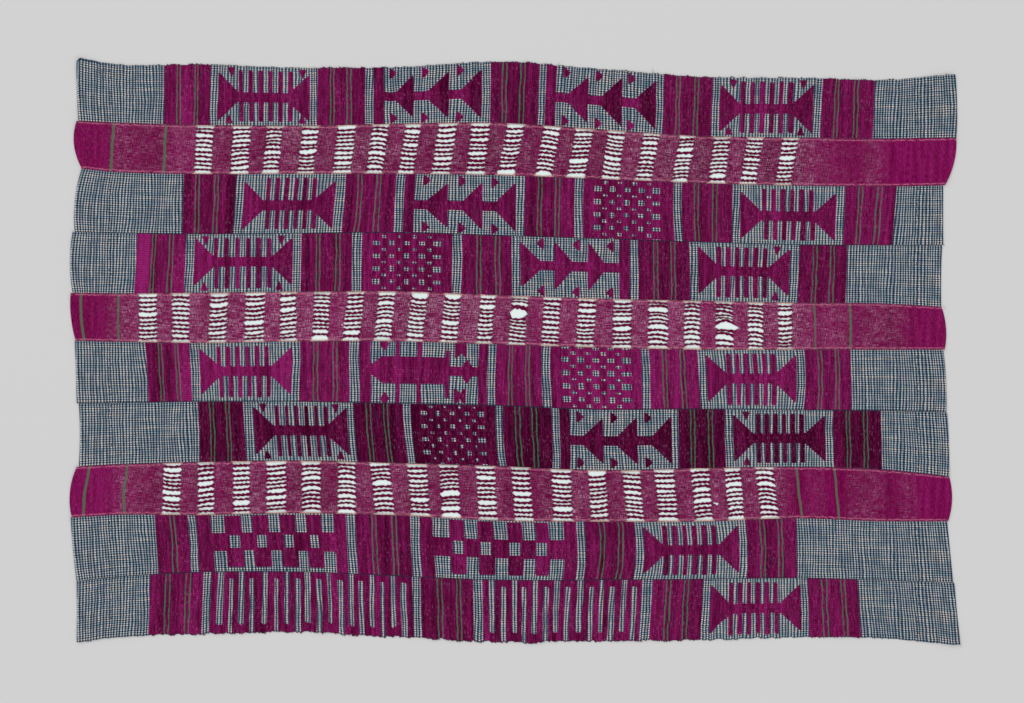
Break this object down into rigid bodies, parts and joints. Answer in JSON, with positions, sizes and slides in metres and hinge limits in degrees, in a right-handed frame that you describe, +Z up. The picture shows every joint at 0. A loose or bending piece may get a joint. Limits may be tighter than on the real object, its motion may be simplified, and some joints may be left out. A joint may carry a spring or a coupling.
{
  "type": "aso oke wrapper cloth",
  "caption": "Rectangular wrapper of narrow woven strips sewn edge to edge, laid flat, with check, magenta and openwork strips pierced by columns of gaps; worn wrapped round the body.",
  "frame": {"origin": "centre of the cloth's box, on the surface it lies on", "axes": "+X along the strips to the picture's right, +Y across the strips to the picture's top, +Z up off the surface"},
  "size_m": [1.7806, 1.171, 0.0084],
  "materials": {
    "check_cloth": "matt cotton weave",
    "open_cloth": "soft sheen cotton weave"
  },
  "bodies": {
    "root": {"strip_01_check": "check_cloth", "strip_02_open": "open_cloth", "strip_03_check": "check_cloth", "strip_04_check": "check_cloth", "strip_05_open": "open_cloth", "strip_06_check": "check_cloth", "strip_07_check": "check_cloth", "strip_08_open": "open_cloth", "strip_09_check": "check_cloth", "strip_10_check": "check_cloth"}
  },
  "joints": []
}
